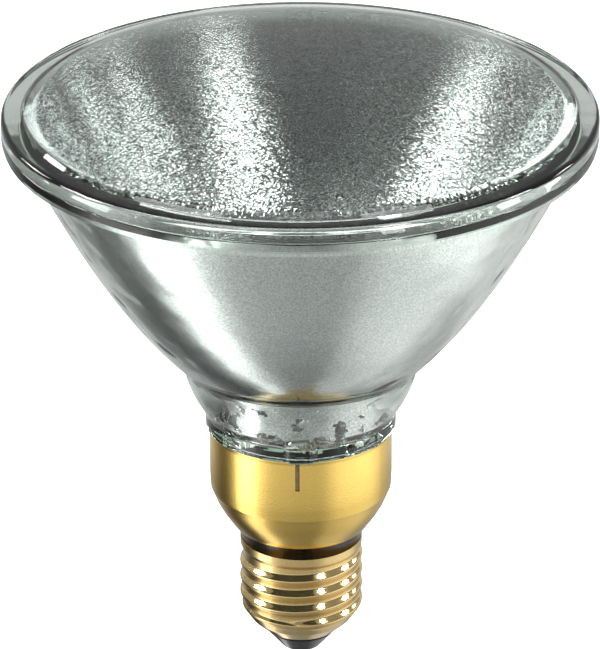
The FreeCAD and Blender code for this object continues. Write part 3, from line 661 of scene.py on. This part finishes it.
def dome(edge_radius, edge_height, top, count):
    """Points of a shallow dome from its edge to the axis."""
    rise = top - edge_height
    ball = (edge_radius**2 + rise**2) / (2 * rise)
    return [np.array((r, top - ball + math.sqrt(ball**2 - r**2))) for r in np.linspace(edge_radius, 0, count)]


outline = dome(WINDOW_RADIUS, WINDOW_EDGE, LENS_TOP, count=40)[::-1]
outline += bent(
    (WINDOW_RADIUS + WINDOW_STEP, WINDOW_EDGE - WINDOW_STEP),
    (WINDOW_RADIUS + 1.0, RIM_PLANE),
    (RIM_RADIUS, RIM_PLANE, RIM_EDGE),
    (RIM_RADIUS, SEAL_PLANE + SEAM, SEAM_EDGE),
    (MOUTH_RADIUS, SEAL_PLANE + SEAM),
    (MOUTH_RADIUS, INNER_EDGE - HAIR),
)
outline += dome(MOUTH_RADIUS, INNER_EDGE, LENS_TOP - LENS_THICKNESS, count=80)
lens = turned("stippled_lens", outline)

# One round gas bubble was left in the pressed glass near the front edge. Its wall faces into its hollow.
BUBBLE = (7.6, -49.2, 126.3)
BUBBLE_RADIUS = 0.9
glass_points = len(lens.data.vertices)
work = bmesh.new()
work.from_mesh(lens.data)
centre = Matrix.Translation([c / 1000 for c in BUBBLE])
ball = bmesh.ops.create_uvsphere(
    work, u_segments=24, v_segments=12, radius=BUBBLE_RADIUS / 1000, matrix=centre
)
bmesh.ops.reverse_faces(work, faces=list({f for v in ball["verts"] for f in v.link_faces}))
work.to_mesh(lens.data)
work.free()
lens.data.shade_smooth()
lens.data.set_sharp_from_angle(angle=math.radians(SHARP_ANGLE))

# Stippled pressed glass glitters: each dimple is a facet with its own tilt, a third of a millimetre across,
# and lets through a little more or less light than its neighbours. The attribute keeps it to the inner face.
stippled_glass, tree, shader = finish(
    "stippled pressed glass", Roughness=0.0, IOR=GLASS_IOR, Transmission_Weight=1.0
)
place = add(tree, "ShaderNodeTexCoord")
cells = add(tree, "ShaderNodeTexVoronoi", {"Vector": place.outputs["Object"], "Scale": 1 / STIPPLE_CELL})
facing = add(tree, "ShaderNodeNewGeometry")
even = (0.5, 0.5, 0.5)
centred = add(tree, "ShaderNodeVectorMath", {0: cells.outputs["Color"], 1: even}, operation="SUBTRACT")
there = add(tree, "ShaderNodeAttribute", attribute_name="stipple")
lean = add(tree, "ShaderNodeMath", {0: there.outputs["Fac"], 1: STIPPLE_LEAN}, operation="MULTIPLY")
tilt = add(tree, "ShaderNodeVectorMath", {0: centred.outputs[0], "Scale": lean.outputs[0]}, operation="SCALE")
normal = facing.outputs["Normal"]
leaning = add(tree, "ShaderNodeVectorMath", {0: normal, 1: tilt.outputs[0]}, operation="ADD")
facet = add(tree, "ShaderNodeVectorMath", {0: leaning.outputs[0]}, operation="NORMALIZE")
tree.links.new(facet.outputs[0], shader.inputs["Normal"])
chance = add(tree, "ShaderNodeSeparateColor", {0: cells.outputs["Color"]})
shade = add(tree, "ShaderNodeMath", {0: chance.outputs[2], 1: there.outputs["Fac"]}, operation="MULTIPLY")
colour = add(
    tree, "ShaderNodeMix", {0: shade.outputs[0], 6: linear("#FFFFFF"), 7: linear("#6A726E")}, data_type="RGBA"
)
tree.links.new(colour.outputs[2], shader.inputs["Base Color"])
tint = add(tree, "ShaderNodeVolumeAbsorption", {"Color": linear(GLASS_GREEN), "Density": GLASS_DEPTH})
tree.links.new(tint.outputs[0], tree.nodes["Material Output"].inputs["Volume"])
lens.data.materials.append(stippled_glass)
mask = lens.data.attributes.new("stipple", "FLOAT", "POINT")
for vertex in lens.data.vertices[:glass_points]:
    inside = vertex.normal.z < FACING_DOWN and vertex.co.xy.length * 1000 < STIPPLE_RADIUS
    mask.data[vertex.index].value = float(inside)
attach(lens, "root")
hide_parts("front_lens")

# Skirt: thin brass, drawn and slotted at its open edge, with a fine satin grain from the drawing.
# Its barrel turns in to a cone along a soft crease, and its open edge is rolled a little.
SKIRT_WALL = 0.4
SKIRT_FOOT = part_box("cap_skirt")[0].z * 1000
COLLAR_RADIUS = 12.9
CREASE = 40.3
SLOT_WIDTH = 0.9
SLOT_DEPTH = 6.9
SLOT_TURN = -2.2
SLOT_COUNT = 4
STATION_STEP = 1.25
# Shares of a slot's half width: even stations stay farther off than the first, and a slot's open face has
# its middle within the second.
CLEAR_OF_SLOT = 1.6
WITHIN_SLOT = 0.9
SLOT_FOOT = SKIRT_TOP - SLOT_DEPTH
ROLLED_EDGE = (
    (0.16, 0.0), (0.0, 0.25), (0.0, 0.6), (0.12, 1.0), (0.04, 1.5), (0.0, 2.2), (0.0, SLOT_DEPTH), (0.0, 9.5),
)
SOFT_CREASE = (
    (0.0, 2.7), (0.03, 1.7), (0.09, 0.8), (0.14, 0.04), (0.18, -0.04), (0.52, -0.9), (0.92, -1.9),
    (1.48, -3.3),
)
CONE = ((16.55, 34.9), (15.2, 32.9), (14.4, 31.72))
FOOT_RADIUS = 13.9
FOOT_LIP = 0.22
profile = [(SKIRT_RADIUS - inward, SKIRT_TOP - down) for inward, down in ROLLED_EDGE]
profile += [(SKIRT_RADIUS - inward, CREASE + up) for inward, up in SOFT_CREASE]
profile += [*CONE, (FOOT_RADIUS + FOOT_LIP, SKIRT_FOOT + HAIR), (FOOT_RADIUS, SKIRT_FOOT)]
profile += [(COLLAR_RADIUS + HAIR, SKIRT_FOOT)]
half_slot = math.degrees(SLOT_WIDTH / 2 / SKIRT_RADIUS)
slot_angles = [SLOT_TURN - 90 + i * 360 / SLOT_COUNT for i in range(SLOT_COUNT)]


def off_slot(angle):
    """Degrees from an angle to the nearest slot."""
    return min(abs((angle - s + 180) % 360 - 180) for s in slot_angles)


stations = [a for a in np.arange(0, 360, STATION_STEP) if off_slot(a) > half_slot * CLEAR_OF_SLOT]
stations = sorted(stations + [(s + side * half_slot) % 360 for s in slot_angles for side in (-1, 1)])
count = len(stations)
points = []
for radius, height in profile:
    for a in np.radians(stations):
        points.append((radius * math.cos(a), radius * math.sin(a), height))
faces = []
for row in range(len(profile) - 1):
    for i, angle in enumerate(stations):
        j = (i + 1) % count
        middle = angle + (stations[j] - angle) % 360 / 2
        if off_slot(middle) > half_slot * WITHIN_SLOT or profile[row + 1][1] < SLOT_FOOT - 0.001:
            high, low = row * count, (row + 1) * count
            faces.append((high + i, low + i, low + j, high + j))
skirt = mesh_object("brass_skirt", points, faces)
sheet = skirt.modifiers.new("sheet", "SOLIDIFY")
sheet.thickness = SKIRT_WALL / 1000
sheet.offset = -1
applied(skirt)

# Satin drawn brass is a warm yellow metal, and the fine grain of the drawing softens what it mirrors.
# The grain is drawn 0.3 mm wide, coarser than the real one, so that it shows.
satin_brass, tree, shader = finish("satin drawn brass", Metallic=1.0)
mottled(
    tree, shader, spot=0.0003, detail=2.0, dark="#E8C062", light="#F5D67C", relief=0.00004, gloss=(0.06, 0.16)
)
skirt.data.materials.append(satin_brass)
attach(skirt, "root")
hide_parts("cap_skirt")

# Basing cement: a ring of mineral filler and resin, baked between the skirt and the glass heel to hold them
# together. It shows through the slots. Baked basing cement is brown and quite matt, with grains of 0.8 mm.
cement, tree, shader = finish("baked basing cement", Roughness=0.92)
mottled(tree, shader, spot=0.0008, detail=5.0, dark="#4E4131", light="#84725A", relief=0.0002)
carried(cement, "skirt_cement")

# Black glass ring: cap glass moulded hot between the skirt and the screw shell, so that it grips both and
# insulates one from the other. Black cap glass is opaque and very glossy, with low waves about 3 mm long.
black_glass, tree, shader = finish("black cap glass", Roughness=0.04, IOR=1.52)
mottled(tree, shader, spot=0.003, detail=2.0, dark="#060607", light="#0E0E10", relief=0.0001)
carried(black_glass, "collar_insulator")

# Screw shell: thin brass, drawn and rolled to the rounded E27 screw, with a plain band at its mouth and a
# foot that turns in over the black plug. Its outline goes in a thousand times too large, as millimetres,
# and the Geometry Nodes turn it round, roll the ridge into it and bring it back to its real size.
SHELL_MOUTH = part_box("screw_shell")[1].z * 1000
SHELL_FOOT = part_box("screw_shell")[0].z * 1000
SHELL_FOOT_RADIUS = 8.0
SHELL_WALL = 0.3
THREAD_DEPTH = 0.8
THREAD_ROOT = 12.25
MOUTH_BAND = THREAD_ROOT + 0.7
MOUTH_BAND_FOOT = SHELL_MOUTH - 1.8
SHOULDER_BAND = THREAD_ROOT + 0.35
SHOULDER_BAND_TOP = 12.15
SHOULDER_BAND_HEIGHT = 0.4
BAND_SLOPE = 0.8
MOUTH_BEND = 0.5
SHOULDER_BEND = 0.3
FOOT_BEND = 0.15
TURN_POINTS = 193
OUTLINE_POINTS = 200
KNEE = (10.9, 9.1, 2.2)
line = bent(
    (MOUTH_BAND, SHELL_MOUTH),
    (MOUTH_BAND, MOUTH_BAND_FOOT, MOUTH_BEND),
    (THREAD_ROOT, MOUTH_BAND_FOOT - BAND_SLOPE, MOUTH_BEND),
    (THREAD_ROOT, SHOULDER_BAND_TOP + BAND_SLOPE, SHOULDER_BEND),
    (SHOULDER_BAND, SHOULDER_BAND_TOP, SHOULDER_BEND),
    (SHOULDER_BAND, SHOULDER_BAND_TOP - SHOULDER_BAND_HEIGHT, FOOT_BEND),
    KNEE,
    (SHELL_FOOT_RADIUS, SHELL_FOOT),
)
shell = mesh_object("screw_shell_brass", [(r * 1000, 0, z * 1000) for r, z in line], [])
shell.data.edges.add(len(line) - 1)
for i, edge in enumerate(shell.data.edges):
    edge.vertices = (i, i + 1)

rolling = bpy.data.node_groups.new("rolled screw", "GeometryNodeTree")
rolling.interface.new_socket("Outline", in_out="INPUT", socket_type="NodeSocketGeometry")
sizes = {
    "Root": THREAD_ROOT, "Depth": THREAD_DEPTH, "Pitch": 3.62, "Start Height": 11.76, "Start Turn": 250 / 360,
    "Turns": 3.7, "Ridge Width": 3.5, "Fade": 0.16,
}
for name in sizes:
    rolling.interface.new_socket(name, in_out="INPUT", socket_type="NodeSocketFloat")
rolling.interface.new_socket("Finish", in_out="INPUT", socket_type="NodeSocketMaterial")
rolling.interface.new_socket("Shell", in_out="OUTPUT", socket_type="NodeSocketGeometry")
given = add(rolling, "NodeGroupInput").outputs

# A flat grid one unit square becomes the shell: its width is one turn, and its height runs along the outline.
curve = add(rolling, "GeometryNodeMeshToCurve", {"Mesh": given["Outline"]})
fineness = {"Vertices X": TURN_POINTS, "Vertices Y": OUTLINE_POINTS}
grid = add(rolling, "GeometryNodeMeshGrid", {"Size X": 1.0, "Size Y": 1.0, **fineness})
flat = add(rolling, "GeometryNodeInputPosition")
from_corner = add(rolling, "ShaderNodeVectorMath", {0: flat.outputs[0], 1: (0.5, 0.5, 0.0)}, operation="ADD")
spot = add(rolling, "ShaderNodeSeparateXYZ", {0: from_corner.outputs[0]})
along = spot.outputs["Y"]
sample = add(rolling, "GeometryNodeSampleCurve", {"Curves": curve.outputs[0], "Factor": along}, mode="FACTOR")
where = add(rolling, "ShaderNodeSeparateXYZ", {0: sample.outputs["Position"]})
known = {name: given[name] for name in sizes}
known.update({"Turn": spot.outputs["X"], "Radius": where.outputs["X"], "Height": where.outputs["Z"]})

# Each row names a sum on one point of the shell. Climb is its height in turns, and Crest is the climb of the
# nearest crest over or under it. The ridge is a rounded wave about that crest, which fades out at both ends.
FADE_START = -0.05
ROLLING_SUMS = (
    ("Round", "SUBTRACT", "Turn", "Start Turn"),
    ("Above Start", "SUBTRACT", "Height", "Start Height"),
    ("Climb", "DIVIDE", "Above Start", "Pitch"),
    ("Lag", "SUBTRACT", "Climb", "Round"),
    ("Whole Turns", "ROUND", "Lag"),
    ("Crest", "ADD", "Whole Turns", "Round"),
    ("Off By", "SUBTRACT", "Climb", "Crest"),
    ("Off By Length", "MULTIPLY", "Off By", "Pitch"),
    ("Off Crest", "ABSOLUTE", "Off By Length"),
    ("Both Sides", "MULTIPLY", "Off Crest", 2.0),
    ("Share", "DIVIDE", "Both Sides", "Ridge Width"),
    ("Inside", "SUBTRACT", 1.0, "Share"),
    ("Nearness", "MAXIMUM", "Inside", 0.0),
    ("Swing", "MULTIPLY", "Nearness", math.pi),
    ("Swing Cosine", "COSINE", "Swing"),
    ("Wave", "MULTIPLY_ADD", "Swing Cosine", -0.5, 0.5),
    ("Left", "SUBTRACT", "Turns", "Crest"),
    ("Fade In", "FADE", "Crest"),
    ("Fade Out", "FADE", "Left"),
    ("Both Fades", "MULTIPLY", "Fade In", "Fade Out"),
    ("Full Ridge", "MULTIPLY", "Wave", "Depth"),
    ("Ridge", "MULTIPLY", "Full Ridge", "Both Fades"),
    ("Over Root", "SUBTRACT", "Radius", "Root"),
    ("Stand", "MAXIMUM", "Over Root", 0.0),
    ("Ridge Over Stand", "SUBTRACT", "Ridge", "Stand"),
    ("Pushed Out", "MAXIMUM", "Ridge Over Stand", 0.0),
    ("Rolled", "ADD", "Radius", "Pushed Out"),
    ("Bearing", "MULTIPLY", "Turn", 2 * math.pi),
    ("Cosine", "COSINE", "Bearing"),
    ("Sine", "SINE", "Bearing"),
    ("X", "MULTIPLY", "Rolled", "Cosine"),
    ("Y", "MULTIPLY", "Rolled", "Sine"),
)
for name, operation, *terms in ROLLING_SUMS:
    terms = [known.get(term, term) for term in terms]
    if operation == "FADE":
        ends = {"Value": terms[0], "From Min": FADE_START, "From Max": known["Fade"]}
        made = add(rolling, "ShaderNodeMapRange", ends, interpolation_type="SMOOTHSTEP")
    else:
        made = add(rolling, "ShaderNodeMath", dict(enumerate(terms)), operation=operation)
    known[name] = made.outputs[0]
point = add(rolling, "ShaderNodeCombineXYZ", {"X": known["X"], "Y": known["Y"], "Z": known["Height"]})
metres = add(rolling, "ShaderNodeVectorMath", {0: point.outputs[0], "Scale": 0.001}, operation="SCALE")
moved = add(
    rolling, "GeometryNodeSetPosition", {"Geometry": grid.outputs["Mesh"], "Position": metres.outputs[0]}
)
joined = add(rolling, "GeometryNodeMergeByDistance", {"Geometry": moved.outputs[0], "Distance": 0.000002})
real = add(rolling, "GeometryNodeRealizeInstances", {0: joined.outputs[0]})
done = add(
    rolling, "GeometryNodeSetMaterial", {"Geometry": real.outputs[0], "Material": given["Finish"]}
)
add(rolling, "NodeGroupOutput", {"Shell": done.outputs[0]})

# Bright rolled brass is polished by the rollers, so it is paler and mirrors more sharply than the skirt.
bright_brass, tree, shader = finish("bright rolled brass", Metallic=1.0)
mottled(tree, shader, spot=0.0005, detail=2.0, dark="#E3C07A", light="#F4DDA4", gloss=(0.05, 0.14))
roll = shell.modifiers.new("roll", "NODES")
roll.node_group = rolling
for item in rolling.interface.items_tree:
    if item.item_type == "SOCKET" and item.name in sizes:
        roll[item.identifier] = sizes[item.name]
    if item.item_type == "SOCKET" and item.name == "Finish":
        roll[item.identifier] = bright_brass
sheet = shell.modifiers.new("sheet", "SOLIDIFY")
sheet.thickness = SHELL_WALL / 1000
sheet.offset = 1
applied(shell)
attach(shell, "root")
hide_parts("screw_shell")

# Plug and contact: black cap glass fills the shell's foot. A stamped brass disc is let into it,
# and a drop of solder joins the live lead to the disc.
carried(black_glass, "base_insulator")
carried(bright_brass, "centre_contact")

# Dull tin solder is a pale grey metal that froze with a slightly wrinkled skin, in folds of about 1 mm.
solder, tree, shader = finish("dull tin solder", Metallic=1.0)
mottled(
    tree, shader, spot=0.0012, detail=3.0, dark="#9B9C9D", light="#C9CACB", relief=0.0001, gloss=(0.25, 0.5)
)
carried(solder, "centre_solder", "shell_solder")

# Lead wires: drawn wires from the two cups to the centre contact and to the inside of the screw shell.
# The live one runs in a sleeve of woven glass fibre, which keeps it off the brass.
# Nickel plated wire is a warm grey metal, duller than the posts.
lead_metal, tree, shader = finish("nickel plated lead wire", Metallic=1.0)
mottled(tree, shader, spot=0.0004, detail=2.0, dark="#A8A49C", light="#CBC7BE", gloss=(0.2, 0.4))
carried(lead_metal, "lead_live", "lead_shell")

# Woven glass fibre is a matt cream cloth whose threads cross every 0.8 mm.
woven, tree, shader = finish("woven glass fibre sleeve", Roughness=0.8)
mottled(tree, shader, spot=0.0008, detail=1.0, dark="#C9C3AE", light="#EFEBDD", relief=0.0001)
carried(woven, "lead_sleeve")

# Exhaust tube: the glass tube under the floor through which the lamp was pumped and filled.
# It is of the bowl's own hard glass, and was melted shut at its end.
carried(hard_glass, "exhaust_tube")
